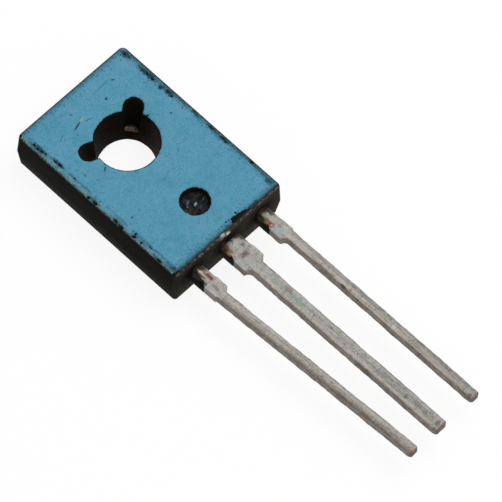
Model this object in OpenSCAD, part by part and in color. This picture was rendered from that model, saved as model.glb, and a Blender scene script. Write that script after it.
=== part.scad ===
// Plastic power transistor: a flat epoxy body moulded round a stamped lead frame.
// The origin is the centre of the mounting hole on the back. The marking face looks up (+Z)
// and the leads run towards -Y.

/* [Body] */
// Length of the moulding at its parting line
body_length = 11.04; // [10.5:0.01:11.2]
// Width of the moulding at its parting line
body_width = 7.4; // [7.3:0.01:7.8]
// Thickness of the moulding, from its back to the marking face
body_height = 2.54; // [2.45:0.01:2.9]
// Height of the parting line, which is also the leads' lower face
parting_height = 1.15; // [1.05:0.01:1.25]
// How far each side leans in between the parting line and the bevel round the marking face
top_draft = 0.08; // [0.05:0.01:0.2]
// Height and width of the bevel round the marking face
edge_bevel = 0.1; // [0.05:0.01:0.12]
// How far each side leans in between the parting line and the back
back_draft = 0.17; // [0.05:0.01:0.25]
// Radius of the upright corners at the parting line
corner_radius = 0.35; // [0.33:0.01:0.6]

/* [Mounting hole] */
// Distance from the plain end of the body to the centre of the hole
hole_offset = 4.01; // [3.76:0.01:4.1]
// Diameter of the straight bore for the screw
bore_d = 3; // [2.93:0.01:3.2]
// Height of the straight bore above the back
bore_straight = 1.3; // [1.1:0.01:1.6]
// How far the bore's wall flares out between its straight part and the marking face
mouth_flare = 0.13; // [0.05:0.01:0.25]

/* [Locating notches] */
// Width of a notch in the marking face
notch_width = 0.92; // [0.8:0.01:1.1]
// Depth of a notch beyond the hole's rim in the marking face
notch_depth = 0.77; // [0.6:0.01:0.9]
// How far each side wall of a notch leans in between the marking face and the heat plate
notch_draft = 0.1; // [0.05:0.01:0.2]
// How far the end wall of a notch leans in between the marking face and the heat plate
notch_slope = 0.58; // [0.3:0.01:0.65]
// Direction of the right notch, from the +X axis
right_notch_angle = 36; // [25:1:40]
// Direction of the left notch, from the +X axis
left_notch_angle = 154; // [140:1:160]

/* [Round recess] */
// Diameter of the recess in the marking face
recess_d = 1.5; // [1.2:0.01:2]
// Depth of the recess
recess_depth = 0.34; // [0.2:0.01:0.45]
// Distance from the centre of the recess to the body's end face by the leads
recess_end_gap = 2.4; // [2:0.01:2.8]

/* [Marking paint] */
// Thickness of the paint on the marking face
paint_thickness = 0.05; // [0.03:0.01:0.08]
// Bare rim between the paint and the bevel round the marking face
paint_edge_gap = 0.02; // [0.01:0.01:0.1]
// Bare rim between the paint and each opening in the marking face
paint_opening_gap = 0.04; // [0.02:0.01:0.08]

/* [Heat plate] */
// Length of the plate's bare face in the back of the body
plate_length = 7.4; // [7:0.01:7.8]
// Width of the plate's bare face
plate_width = 5.6; // [5.2:0.01:5.9]
// Thickness of the plate
plate_thickness = 0.9; // [0.8:0.01:0.95]
// Distance from the plain end of the body to the plate's bare face
plate_end_gap = 0.95; // [0.8:0.01:1.2]
// Radius of the bare face's corners
plate_corner = 0.4; // [0.2:0.01:0.8]
// Width of the lip round the plate that anchors it in the moulding
lip_width = 0.22; // [0.1:0.01:0.3]
// Thickness of the anchoring lip, down from the plate's upper face
lip_thickness = 0.4; // [0.3:0.01:0.5]
// Thickness of the moulding that lines the plate's hole
hole_lining = 0.08; // [0.06:0.01:0.25]

/* [Leads] */
// Distance between the centres of neighbouring leads
lead_pitch = 2.34; // [2.3:0.01:2.4]
// Thickness of the lead strip
lead_thickness = 0.55; // [0.4:0.01:0.63]
// Length of each lead from the body's end face
lead_length = 14.1; // [8:0.1:16.6]
// Width of the two outer leads
outer_lead_width = 0.52; // [0.48:0.01:0.66]
// Width of the middle lead
middle_lead_width = 0.73; // [0.64:0.01:0.88]
// Length of the wide shoulders from the body's end face
shoulder_length = 1.65; // [1.27:0.01:2.41]
// Step at the shoulder's end, on an outer lead's side that faces the middle lead
inner_step = 0.27; // [0.2:0.01:0.32]
// Step at the shoulder's end, on an outer lead's other side
outer_step = 0.07; // [0.03:0.01:0.15]
// Step at the shoulder's end, on each side of the middle lead
middle_step = 0.29; // [0.2:0.01:0.32]
// Radius in the corner between a shoulder and its lead
step_fillet = 0.3; // [0.1:0.01:0.35]
// Radius of the corners at a lead's tip
tip_radius = 0.12; // [0.05:0.01:0.2]
// Angle by which the emitter lead is bent towards the middle lead
emitter_lean = 2.9; // [0:0.1:4]
// Angle by which the other two leads are bent the same way
lead_lean = 0.5; // [0:0.1:1]

/* [Bonding pads] */
// Width of the pad inside the body on each outer lead
pad_width = 1.7; // [1.5:0.01:1.8]
// Length of the pad
pad_length = 1.2; // [0.9:0.01:1.4]
// Gap between the heat plate's lip and the pads
pad_gap = 0.3; // [0.2:0.01:0.4]
// Length over which the collector strip steps up from the plate to the lead
step_run = 0.7; // [0.5:0.01:0.9]

/* [Flash] */
// Reach of the flash along the leads from the body's end face
flash_reach = 0.9; // [0.5:0.01:1.2]
// Share of that reach at which the flash is half as wide as at the root
flash_knee = 0.75; // [0.5:0.05:0.9]
// Height of the flash over the leads' upper faces
flash_height = 0.06; // [0.03:0.01:0.1]
// Thickness of the flash on the leads' sides
flash_side = 0.01; // [0.01:0.01:0.1]
// Width of the flash at the root of the emitter lead
emitter_flash = 0.37; // [0.2:0.01:0.6]
// Width of the flash at the root of the collector lead
collector_flash = 0.25; // [0.2:0.01:0.6]
// Width of the flash at the root of the base lead
base_flash = 0.28; // [0.2:0.01:0.6]

/* [Chip and wires] */
// Side of the square silicon chip
die_size = 1.6; // [1.2:0.01:1.8]
// Thickness of the chip
die_thickness = 0.22; // [0.15:0.01:0.28]
// Thickness of the solder under the chip
solder_thickness = 0.05; // [0.03:0.01:0.08]
// Width of the solder's rim round the chip
solder_rim = 0.06; // [0.03:0.01:0.1]
// Diameter of the bond wires
wire_d = 0.2; // [0.12:0.01:0.25]
// Height of the wires' upright legs over the leads' upper faces
wire_leg = 0.08; // [0.04:0.01:0.15]
// Radius of the bends at both ends of a wire
wire_bend = 0.26; // [0.2:0.01:0.3]
// Distance of each wire's foot on the chip from the chip's middle, along X
foot_spread = 0.45; // [0.3:0.01:0.5]
// Distance of each wire's foot on the chip from the chip's middle, towards the leads
foot_offset = 0.35; // [0.2:0.01:0.45]

/* [Hidden] */
$fn = 64;

// Overshoot that carries a cut clear of the face that it opens
cut = 0.2;
// Overlap that joins two shapes of one stamping
weld = 0.05;

// Ends of the body and its middle, along Y
plain_end = hole_offset;
lead_end = hole_offset - body_length;
body_mid = (plain_end + lead_end) / 2;

// Bevel round the marking face: its foot, and how far the face lies inside the parting line
bevel_foot = body_height - edge_bevel;
face_inset = top_draft + edge_bevel;

// Mounting hole, notches and recess. A notch's round end stands at one distance from the hole in
// the marking face and at another on the heat plate
mouth_d = bore_d + 2 * mouth_flare;
notch_end = mouth_d / 2 + notch_depth - notch_width / 2;
notch_foot = notch_end - notch_slope + notch_draft;
notch_height = body_height - plate_thickness;
recess_mid = lead_end + recess_end_gap;

// Heat plate, along Y
plate_top_end = plain_end - plate_end_gap;
plate_low_end = plate_top_end - plate_length;
plate_hole_d = bore_d + 2 * hole_lining;

// Leads
lead_base = parting_height;
lead_top = lead_base + lead_thickness;
lead_tip = lead_end - lead_length;
shoulder_end = lead_end - shoulder_length;
pad_top_end = plate_low_end - lip_width - pad_gap;
pad_low_end = pad_top_end - pad_length;
outer_shoulder_width = outer_lead_width + inner_step + outer_step;
middle_shoulder_width = middle_lead_width + 2 * middle_step;

// Chip, midway between the plate's hole and its end, and bond wires
die_mid = (plate_low_end - plate_hole_d / 2) / 2;
die_base = plate_thickness + solder_thickness;
die_top = die_base + die_thickness;
wire_bend_base = lead_top + wire_leg;
wire_level = wire_bend_base + wire_bend;
pad_mid = (pad_top_end + pad_low_end) / 2;

// Slab of the moulding between two heights, with drafted sides and conical corners
module drafted_slab(low, high, low_inset, high_inset) {
  straight_x = body_width - 2 * corner_radius;
  straight_y = body_length - 2 * corner_radius;
  translate([0, body_mid, 0]) {
    rotate([90, 0, 0])
      linear_extrude(straight_y, center = true)
        slab_section(body_width, low, high, low_inset, high_inset);
    rotate([90, 0, 90])
      linear_extrude(straight_x, center = true)
        slab_section(body_length, low, high, low_inset, high_inset);
    for (x = [-1, 1], y = [-1, 1])
      translate([x * straight_x / 2, y * straight_y / 2, low])
        cylinder(h = high - low, r1 = corner_radius - low_inset, r2 = corner_radius - high_inset);
  }
}

// Section across such a slab
module slab_section(size, low, high, low_inset, high_inset) {
  polygon([
    [-size / 2 + low_inset, low],
    [size / 2 - low_inset, low],
    [size / 2 - high_inset, high],
    [-size / 2 + high_inset, high],
  ]);
}

// Mounting hole: a straight bore below and a flared mouth above
module mounting_hole() {
  flare = (mouth_d - bore_d) / (body_height - bore_straight);
  translate([0, 0, -cut])
    cylinder(h = bore_straight + 2 * cut, d = bore_d);
  translate([0, 0, bore_straight])
    cylinder(h = body_height - bore_straight + cut, d1 = bore_d, d2 = mouth_d + flare * cut);
}

// Notch beside the hole, left by a pin that held the plate down by the rim of its hole. It is
// drawn upright on the heat plate and then leant outwards
module notch(angle) {
  lean = notch_draft / notch_height;
  low_width = notch_width - 2 * notch_draft - 2 * lean * cut;
  high_width = notch_width + 2 * lean * cut;
  height = notch_height + 2 * cut;
  rotate(angle)
    translate([notch_foot, 0, plate_thickness])
      rotate([0, atan((notch_end - notch_foot) / notch_height), 0])
        translate([0, 0, -cut]) {
          rotate([90, 0, -90])
            linear_extrude(notch_end)
              polygon([
                [-low_width / 2, 0],
                [low_width / 2, 0],
                [high_width / 2, height],
                [-high_width / 2, height],
              ]);
          cylinder(h = height, d1 = low_width, d2 = high_width);
        }
}

// Thin wedge of flash that crept over the -X edge of a lead's root
module flash(edge, width) {
  translate([edge, lead_end, lead_base])
    linear_extrude(lead_thickness + flash_height)
      polygon([
        [width, weld + top_draft],
        [-flash_side, weld + top_draft],
        [-flash_side, -flash_reach / 2],
        [0, -flash_reach],
        [width / 2, -flash_reach * flash_knee],
      ]);
}

module body() {
  color([0.11, 0.11, 0.1])
    difference() {
      union() {
        drafted_slab(0, parting_height, back_draft, 0);
        drafted_slab(parting_height, bevel_foot, 0, top_draft);
        drafted_slab(bevel_foot, body_height, top_draft, face_inset);
        flash(-lead_pitch - outer_lead_width / 2 - outer_step, emitter_flash);
        flash(-middle_shoulder_width / 2, collector_flash);
        flash(lead_pitch - outer_lead_width / 2 - inner_step, base_flash);
      }
      mounting_hole();
      notch(right_notch_angle);
      notch(left_notch_angle);
      translate([0, recess_mid, body_height - recess_depth])
        cylinder(h = recess_depth + cut, d = recess_d);
      collector_frame();
      emitter_lead();
      base_lead();
      die();
      die_solder();
      emitter_wire();
      base_wire();
    }
}

module marking_paint() {
  inset = face_inset + paint_edge_gap;
  width = body_width - 2 * inset;
  length = body_length - 2 * inset;
  color([0.33, 0.59, 0.71])
    translate([0, 0, body_height])
      linear_extrude(paint_thickness)
        difference() {
          translate([0, body_mid])
            rounded_rectangle(width, length, corner_radius - inset);
          circle(d = mouth_d + 2 * paint_opening_gap);
          for (angle = [right_notch_angle, left_notch_angle])
            rotate(angle)
              slot(notch_end, notch_width + 2 * paint_opening_gap);
          translate([0, recess_mid])
            circle(d = recess_d + 2 * paint_opening_gap);
        }
}

// Slot from the origin along +X, with a round end
module slot(length, width) {
  translate([0, -width / 2])
    square([length, width]);
  translate([length, 0])
    circle(d = width);
}

module rounded_rectangle(width, length, radius) {
  square([width - 2 * radius, length], center = true);
  square([width, length - 2 * radius], center = true);
  for (x = [-1, 1], y = [-1, 1])
    translate([x * (width / 2 - radius), y * (length / 2 - radius)])
      circle(radius);
}

// Flat strip along Y between two ends
module strip(width, low_end, high_end) {
  translate([-width / 2, low_end])
    square([width, high_end - low_end]);
}

// Lead from a shoulder to its tip, bent at the shoulder, with its tip's corners rounded
module lead_strip(width, lean) {
  translate([0, shoulder_end])
    rotate(lean)
      translate([0, -shoulder_end]) {
        strip(width, lead_tip + tip_radius, shoulder_end + weld);
        strip(width - 2 * tip_radius, lead_tip, shoulder_end);
        for (side = [-1, 1])
          translate([side * (width / 2 - tip_radius), lead_tip + tip_radius])
            circle(tip_radius);
      }
}

// Rounded corner under a shoulder, on the side given by the sign
module step_corner(side, lead_width, step) {
  radius = min(step_fillet, step);
  translate([side * lead_width / 2, shoulder_end])
    mirror([side > 0 ? 0 : 1, 0])
      difference() {
        translate([-weld, -radius])
          square([radius + weld, radius + weld]);
        translate([radius, -radius])
          circle(radius);
      }
}

// Outline of an outer lead about its own centre line, with the middle lead on its +X side
module outer_lead_outline(lean) {
  translate([(inner_step - outer_step) / 2, 0])
    strip(outer_shoulder_width, shoulder_end, pad_low_end + weld);
  strip(pad_width, pad_low_end, pad_top_end);
  step_corner(1, outer_lead_width, inner_step);
  step_corner(-1, outer_lead_width, outer_step);
  lead_strip(outer_lead_width, lean);
}

module outer_lead(lean) {
  translate([0, 0, lead_base])
    linear_extrude(lead_thickness)
      outer_lead_outline(lean);
}

module emitter_lead() {
  color([0.65, 0.63, 0.61])
    translate([-lead_pitch, 0, 0])
      outer_lead(emitter_lean);
}

module base_lead() {
  color([0.66, 0.64, 0.62])
    translate([lead_pitch, 0, 0])
      mirror([1, 0, 0])
        outer_lead(-lead_lean);
}

// Plate outline, grown by the given amount on every side
module plate_outline(grow) {
  translate([0, (plate_top_end + plate_low_end) / 2])
    rounded_rectangle(plate_width + 2 * grow, plate_length + 2 * grow, plate_corner + grow);
}

// Section along Y of the strip that climbs from the plate to the middle lead
module climbing_section() {
  foot = plate_low_end - lip_width;
  head = foot - step_run;
  low = plate_thickness - lip_thickness;
  polygon([
    [foot + lip_width, low],
    [foot + lip_width, plate_thickness],
    [foot, plate_thickness],
    [head, lead_top],
    [head - weld, lead_top],
    [head - weld, lead_base],
    [head, lead_base],
    [foot, low],
  ]);
}

module collector_frame() {
  head = plate_low_end - lip_width - step_run;
  color([0.64, 0.62, 0.6]) {
    difference() {
      union() {
        linear_extrude(plate_thickness)
          plate_outline(0);
        translate([0, 0, plate_thickness - lip_thickness])
          linear_extrude(lip_thickness)
            plate_outline(lip_width);
        rotate([90, 0, 90])
          linear_extrude(middle_shoulder_width, center = true)
            climbing_section();
        translate([0, 0, lead_base])
          linear_extrude(lead_thickness) {
            strip(middle_shoulder_width, shoulder_end, head);
            step_corner(1, middle_lead_width, middle_step);
            step_corner(-1, middle_lead_width, middle_step);
            lead_strip(middle_lead_width, lead_lean);
          }
      }
      translate([0, 0, -cut])
        cylinder(h = plate_thickness + 2 * cut, d = plate_hole_d);
    }
  }
}

module die() {
  color([0.35, 0.36, 0.4])
    translate([-die_size / 2, die_mid - die_size / 2, die_base])
      cube([die_size, die_size, die_thickness]);
}

module die_solder() {
  size = die_size + 2 * solder_rim;
  color([0.7, 0.7, 0.72])
    translate([-size / 2, die_mid - size / 2, plate_thickness])
      cube([size, size, solder_thickness]);
}

// Quarter bend that turns an upright wire, at the origin, level along +X
module wire_corner() {
  translate([wire_bend, 0, 0])
    rotate([90, 0, 180])
      rotate_extrude(angle = 90)
        translate([wire_bend, 0])
          circle(d = wire_d);
}

// Bond wire: up from the chip, level across, and down on a lead's pad
module bond_wire(side) {
  from = [side * foot_spread, die_mid - foot_offset];
  to = [side * lead_pitch, pad_mid];
  run = to - from;
  span = norm(run);
  translate([from[0], from[1], 0])
    rotate(atan2(run[1], run[0])) {
      translate([0, 0, die_top])
        cylinder(h = wire_bend_base - die_top, d = wire_d);
      translate([span, 0, lead_top])
        cylinder(h = wire_leg, d = wire_d);
      translate([0, 0, wire_bend_base])
        wire_corner();
      translate([span, 0, wire_bend_base])
        rotate(180)
          wire_corner();
      translate([wire_bend, 0, wire_level])
        rotate([0, 90, 0])
          cylinder(h = span - 2 * wire_bend, d = wire_d);
    }
}

module emitter_wire() {
  color([0.8, 0.8, 0.82])
    bond_wire(-1);
}

module base_wire() {
  color([0.8, 0.8, 0.82])
    bond_wire(1);
}

body();
marking_paint();
collector_frame();
emitter_lead();
base_lead();
die();
die_solder();
emitter_wire();
base_wire();
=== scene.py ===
import math

import bmesh
import bpy
import numpy as np
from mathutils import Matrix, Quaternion, Vector, noise

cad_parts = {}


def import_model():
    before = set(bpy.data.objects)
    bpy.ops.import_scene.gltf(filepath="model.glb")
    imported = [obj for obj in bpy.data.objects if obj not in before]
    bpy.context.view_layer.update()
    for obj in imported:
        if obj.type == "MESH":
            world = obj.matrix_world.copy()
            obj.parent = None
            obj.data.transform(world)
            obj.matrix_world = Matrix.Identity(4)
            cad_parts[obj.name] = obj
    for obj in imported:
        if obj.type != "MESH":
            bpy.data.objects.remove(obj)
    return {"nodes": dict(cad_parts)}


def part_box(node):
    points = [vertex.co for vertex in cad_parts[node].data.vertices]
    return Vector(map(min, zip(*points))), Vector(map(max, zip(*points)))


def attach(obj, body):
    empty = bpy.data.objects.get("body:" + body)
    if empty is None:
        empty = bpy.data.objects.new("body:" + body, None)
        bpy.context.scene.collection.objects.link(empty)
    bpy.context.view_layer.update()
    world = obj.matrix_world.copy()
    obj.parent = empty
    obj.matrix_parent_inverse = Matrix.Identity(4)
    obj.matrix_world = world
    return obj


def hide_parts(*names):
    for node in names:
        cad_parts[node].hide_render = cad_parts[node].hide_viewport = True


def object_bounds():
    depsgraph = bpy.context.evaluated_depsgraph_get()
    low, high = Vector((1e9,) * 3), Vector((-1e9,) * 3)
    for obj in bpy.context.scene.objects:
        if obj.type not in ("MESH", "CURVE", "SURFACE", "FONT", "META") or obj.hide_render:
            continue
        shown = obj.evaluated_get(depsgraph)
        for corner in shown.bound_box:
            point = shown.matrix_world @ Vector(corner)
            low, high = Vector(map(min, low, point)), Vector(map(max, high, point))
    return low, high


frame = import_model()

cad_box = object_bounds()

# Lengths below are in millimetres and turns in degrees. Blender's unit is the metre
MM = 0.001

# Distance under which the corners of a mesh are joined
WELD = 0.0001

# Angles over which an edge is kept, is rounded, and is shaded as a crease
FLAT_ANGLE = 0.5
SHARP_ANGLE = 25
CREASE_ANGLE = 40

# Moulded body: its marking face ends at a bevel, whose foot meets the drafted sides
BODY_LENGTH = 11.04
TOP_DRAFT = 0.08
EDGE_BEVEL = 0.1
EDGE_ROUND = 0.03
BODY_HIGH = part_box("body")[1] / MM
FACE_Z = BODY_HIGH.z
PLAIN_END_Y = BODY_HIGH.y
END_FACE_Y = PLAIN_END_Y - BODY_LENGTH
BODY_MID_Y = (PLAIN_END_Y + END_FACE_Y) / 2
FOOT_HALF_WIDTH = BODY_HIGH.x - TOP_DRAFT
FOOT_HALF_LENGTH = BODY_LENGTH / 2 - TOP_DRAFT
FOOT_CORNER = 0.27

# Thin skin in the back edge of the bore: its height, its turn where it is widest, and its lumps
SKIN_HEIGHT = 0.2
SKIN_TURN = 110
SKIN_WIDTH = 0.08
SKIN_UNEVEN = 0.02
SKIN_NOISE_SCALE = 4

# Paint: its rim on each side of the marking face
PAINT_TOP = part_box("marking_paint")[1].z / MM
PAINT_LEFT = -3.6
PAINT_RIGHT = 3.56
PAINT_PLAIN_END = 3.89
PAINT_LEAD_END = -6.78
PAINT_CORNER = 0.2

# Film of paint: its grid's step, its depth under the face, its taper at an edge, and its bend at the bevel
FILM_STEP = 0.05
FILM_SUNK = 0.03
FILM_TAPER = 0.06
FILM_EDGE_SHARE = 0.15
FILM_BEND = 0.04

# Shares of a grid step between which an edge of the film may cross it
CROSSING_SHARES = (0.1, 0.9)

# Islands of paint with fewer faces than this are dropped
LEAST_ISLAND_FACES = 100

# Unevenness of the paint's outline, and of its chips' outlines: amount, scale and seed of each noise
RIM_NOISE = [(0.03, 5, 0), (0.02, 13, 4)]
CHIP_NOISE = [(0.5, 9, 1), (0.3, 20, 2)]

# Openings in the paint
MOUTH_RADIUS = 1.67
NOTCH_HALF_WIDTH = 0.52
NOTCH_END = 1.96
NOTCH_ANGLES = (36, 154)
RECESS_RADIUS = 0.78
RECESS_GAP = 2.4
RECESS_DEPTH = 0.34
RECESS_Y = END_FACE_Y + RECESS_GAP
RECESS_FLOOR = FACE_Z - RECESS_DEPTH

# Leads: a shoulder with flash beside it, a straight run, and a tip that the cutting tool pinched
LEAD_TIP_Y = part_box("base_lead")[0].y / MM
LEAD_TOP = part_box("base_lead")[1].z / MM
LEAD_PITCH = 2.34
OUTER_HALF_WIDTH = 0.26
MIDDLE_HALF_WIDTH = 0.365
EMITTER_LEAN = 2.9
OTHER_LEAN = 0.5
SHOULDER_LENGTH = 1.65
SHOULDER_END_Y = END_FACE_Y - SHOULDER_LENGTH
FLASH_LENGTH = 0.95
FLASH_END_Y = END_FACE_Y - FLASH_LENGTH
PINCH_LENGTH = 0.5
PINCH_SHARE = 0.25

# Tin dip: what softens its edges, its thickness and lumps, and how it starts at the body and the flash
DIP_VOXEL = 0.043
DIP_PASSES = 3
DIP_FACTOR = 0.5
DIP_THICKNESS = 0.008
DIP_LUMP = 0.018
DIP_LUMP_SCALES = (1.1, 3.4)
DIP_REACH = 0.1
DIP_FADE = 0.15
FLASH_CLEARANCE = 0.03

# Bands along the paint's rims: the distances from a rim at which each begins and is full
RIM_SHADE_BAND = (0.42, 0.05)
PALE_BAND = (0.27, 0.12)
WORN_LEFT_BAND = (0.34, 0.06)
WORN_RIGHT_BAND = (0.55, 0.15)
WORN_END_BAND = (0.25, 0.04)
FINE_SPECK_BAND = (0.5, 0.15)
COARSE_SPECK_BAND = (0.9, 0.3)
EDGE_BAND = (0.14, 0.02)
LEFT_EDGE_BAND = (0.05, 0.015)

# Dark line inside the left rim: its place, and the distances from it at which it begins and is full
LINE_X = -3.27
LINE_BAND = (0.12, 0.03)

# Stretch of the right rim, along Y, over which its wear comes in
WORN_RIGHT_STRETCH = (-2.5, 0.5)

# Stretches of the leads, along Y, over which the dip darkens towards the tips and pales towards the body
DARKER_STRETCH = (-9.0, -20.0)
PALER_STRETCH = (-18.0, -9.0)

# Ledge of the heat plate in the notch: its rise, the radii of its outer rim with painted shade, and its
# rust
LEDGE_RISE = (0.7, 0.85)
LEDGE_SHADE_RADII = (1.66, 1.74)
LEDGE_RUST_PLACE = (1.47, 0.73)
LEDGE_RUST_RADIUS = 0.14

# Camera, fitted to the photograph
CAMERA_AZIMUTH = -48.97
CAMERA_ELEVATION = 62.1
CAMERA_ROLL = 4.08
CAMERA_TARGET = (0.514, -7.97, 1.27)
CAMERA_DISTANCE = 385.63
CAMERA_LENS = 573.7
CAMERA_SENSOR = 36
CAMERA_CLIP = (10, 10000)

# Table: half its width, its gap under the part, its grey in the light, and its grey and glow when seen
TABLE_HALF_WIDTH = 1500
TABLE_GAP = 0.005
TABLE_GREY = 0.8
TABLE_SEEN_GREY = 0.11
TABLE_SEEN_GLOW = 0.9

# Light: the surround's level on the object and as the background, and the key lamp with its power in watts
SURROUND_LEVEL = 0.5
BACKGROUND_LEVEL = 1.0
KEY_PLACE = (100, -20, 200)
KEY_SIZE = 150
KEY_POWER = 0.25

# Paint that is worn or smudged, as sRGB in 0 to 255
WORN_TONE = (38, 54, 60)
SMUDGE_TONE = (30, 46, 54)

# Chips out of the paint: centre, half width, half length and turn in degrees
CHIPS = [
    (-3.36, 2.97, 0.05, 0.1, 0), (-3.42, 2.72, 0.05, 0.1, 0), (-3.37, 2.48, 0.055, 0.1, 0),
    (-3.33, 2.26, 0.045, 0.08, 0), (-3.29, 1.62, 0.04, 0.14, -8), (-3.26, 1.3, 0.06, 0.14, -8),
    (-3.27, 0.32, 0.04, 0.06, 0),
    (-3.5, -0.9, 0.06, 0.07, 0), (-3.5, -1.32, 0.07, 0.16, 0), (-3.48, -2.7, 0.06, 0.12, 0),
    (-3.54, -3.12, 0.06, 0.14, 0), (-3.3, -3.9, 0.09, 0.05, 0), (-3.46, -3.94, 0.05, 0.12, 20),
    (-3.44, -4.4, 0.06, 0.07, 0), (-3.33, -4.92, 0.035, 0.1, 0), (-3.52, -5.7, 0.05, 0.14, 0),
    (3.3, 3.5, 0.045, 0.08, 0), (3.34, 3.2, 0.035, 0.08, 0), (3.28, 2.26, 0.04, 0.07, 0),
    (3.31, 1.95, 0.045, 0.09, 0), (3.3, 1.55, 0.06, 0.11, 0), (3.2, 0.97, 0.07, 0.04, -25),
    (3.34, 0.55, 0.045, 0.11, 0), (3.27, 0.24, 0.05, 0.08, 0), (3.44, -2.3, 0.04, 0.14, 0),
    (3.43, -3.1, 0.04, 0.16, 0), (3.35, -3.36, 0.05, 0.05, 0), (3.45, -5.05, 0.03, 0.12, 0),
    (0.72, -6.7, 0.3, 0.2, 8), (0.95, -6.62, 0.18, 0.1, 0), (1.25, -6.66, 0.22, 0.09, -20),
    (1.5, -6.76, 0.2, 0.06, -10), (0.27, -6.46, 0.07, 0.05, 0), (0.42, -6.48, 0.03, 0.04, 0),
    (0.94, -6.42, 0.05, 0.08, 0), (1.71, 0.3, 0.07, 0.05, 20), (-3.3, -6.74, 0.14, 0.05, 0),
    (-3.62, 3.92, 0.2, 0.2, 45), (-3.6, -6.76, 0.2, 0.1, 20),
]

# Smudges on the paint along its rim: centre, half width, half length and strength
SMUDGES = [
    (3.3, 3.45, 0.16, 0.3, 0.85), (3.3, 2.2, 0.14, 0.3, 0.85), (3.32, 1.7, 0.17, 0.3, 0.85),
    (3.24, 0.95, 0.14, 0.14, 0.85), (3.33, 0.45, 0.14, 0.36, 0.85), (3.42, -1.25, 0.08, 0.28, 0.85),
    (3.42, -2.35, 0.1, 0.3, 0.85), (3.4, -3.25, 0.1, 0.34, 0.85), (3.44, -5.05, 0.07, 0.24, 0.85),
    (3.32, -6.35, 0.16, 0.2, 0.85), (3.44, -0.4, 0.06, 0.35, 0.45), (3.36, -2.9, 0.12, 0.5, 0.4),
    (3.42, -4.2, 0.08, 0.5, 0.5), (3.4, -5.75, 0.08, 0.45, 0.5), (-3.36, -6.5, 0.12, 0.16, 0.85),
    (1.9, -6.72, 0.3, 0.08, 0.85), (-3.38, 2.65, 0.13, 0.5, 0.85), (-3.28, 1.42, 0.1, 0.42, 0.85),
    (-3.29, 0.25, 0.07, 0.3, 0.45), (-3.28, -0.5, 0.06, 0.35, 0.4), (-3.47, -1.15, 0.1, 0.4, 0.55),
    (-3.5, -2.9, 0.1, 0.42, 0.55), (-3.42, -4.0, 0.14, 0.22, 0.55), (-3.4, -4.6, 0.1, 0.3, 0.45),
    (-3.34, -5.0, 0.06, 0.16, 0.5), (-3.5, -5.7, 0.08, 0.32, 0.45), (-3.4, -6.2, 0.1, 0.3, 0.4),
]

# Scratches and spots in the paint: centre, half length, half width, turn, and sRGB colour
SCRATCHES = [
    (-1.15, 2.25, 0.28, 0.04, 17, (30, 48, 56)), (-0.74, 2.38, 0.18, 0.03, 15, (150, 168, 174)),
    (0.9, 2.35, 0.08, 0.07, 0, (46, 80, 96)), (1.87, 2.87, 0.1, 0.035, -40, (34, 64, 78)),
    (-0.95, 2.9, 0.1, 0.03, 100, (50, 90, 108)), (-1.87, -0.36, 0.16, 0.035, 40, (24, 56, 68)),
    (-0.5, 2.12, 0.24, 0.022, -18, (56, 98, 118)), (1.2, 3.0, 0.6, 0.018, 4, (58, 108, 134)),
    (-1.95, 2.2, 0.45, 0.018, -9, (116, 164, 182)), (-2.2, 2.3, 0.25, 0.02, 30, (58, 102, 124)),
    (1.4, -2.1, 0.12, 0.02, 30, (56, 100, 122)), (-2.8, -3.15, 0.07, 0.05, 0, (40, 74, 88)),
    (-2.8, 0.05, 0.09, 0.03, 60, (52, 92, 112)), (2.6, -0.4, 0.07, 0.04, 0, (48, 84, 100)),
]

# Colours across the upper face of each lead, from its left edge (0) to its right edge (1)
EMITTER_TONES = [(0.0, (124, 114, 104)), (0.2, (134, 125, 115)), (0.32, (156, 149, 141)),
                 (0.6, (172, 167, 160)), (0.85, (170, 166, 161)), (1.0, (134, 128, 122))]
COLLECTOR_TONES = [(0.0, (150, 140, 132)), (0.2, (180, 173, 167)), (0.5, (152, 156, 149)),
                   (0.7, (162, 162, 156)), (0.85, (174, 172, 167)), (1.0, (130, 126, 120))]
BASE_TONES = [(0.0, (136, 122, 112)), (0.15, (182, 170, 160)), (0.35, (178, 172, 164)),
              (0.55, (164, 160, 153)), (0.7, (143, 142, 136)), (1.0, (142, 140, 135))]

# Stains on each lead: centre, half width, half length, sRGB colour and strength
EMITTER_STAINS = [
    (-2.38, -7.15, 0.13, 0.36, (28, 23, 19), 0.95), (-2.5, -7.7, 0.1, 0.24, (34, 28, 24), 0.9),
    (-2.29, -7.3, 0.09, 0.34, (104, 66, 44), 0.95), (-2.19, -7.25, 0.07, 0.3, (214, 210, 200), 0.9),
    (-2.05, -7.05, 0.1, 0.2, (74, 46, 32), 0.9), (-1.94, -7.1, 0.1, 0.26, (44, 34, 27), 0.9),
    (-2.07, -7.7, 0.09, 0.22, (114, 54, 40), 0.95), (-2.12, -7.46, 0.06, 0.18, (126, 80, 60), 0.8),
    (-2.3, -8.35, 0.07, 0.3, (112, 114, 108), 0.7), (-2.2, -17.4, 0.08, 1.5, (92, 82, 72), 0.7),
    (-2.3, -14.0, 0.06, 1.0, (128, 104, 98), 0.5), (-1.94, -21.02, 0.1, 0.1, (160, 100, 66), 0.9),
    (-2.13, -16.9, 0.05, 0.6, (92, 80, 70), 0.7), (-2.06, -18.2, 0.05, 0.7, (90, 78, 68), 0.7),
    (-2.0, -19.4, 0.05, 0.6, (98, 86, 76), 0.65), (-1.72, -18.4, 0.06, 0.9, (184, 180, 174), 0.6),
    (-2.2, -15.6, 0.05, 0.5, (118, 98, 84), 0.6), (-1.62, -20.2, 0.06, 0.5, (174, 170, 163), 0.5),
]
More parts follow.
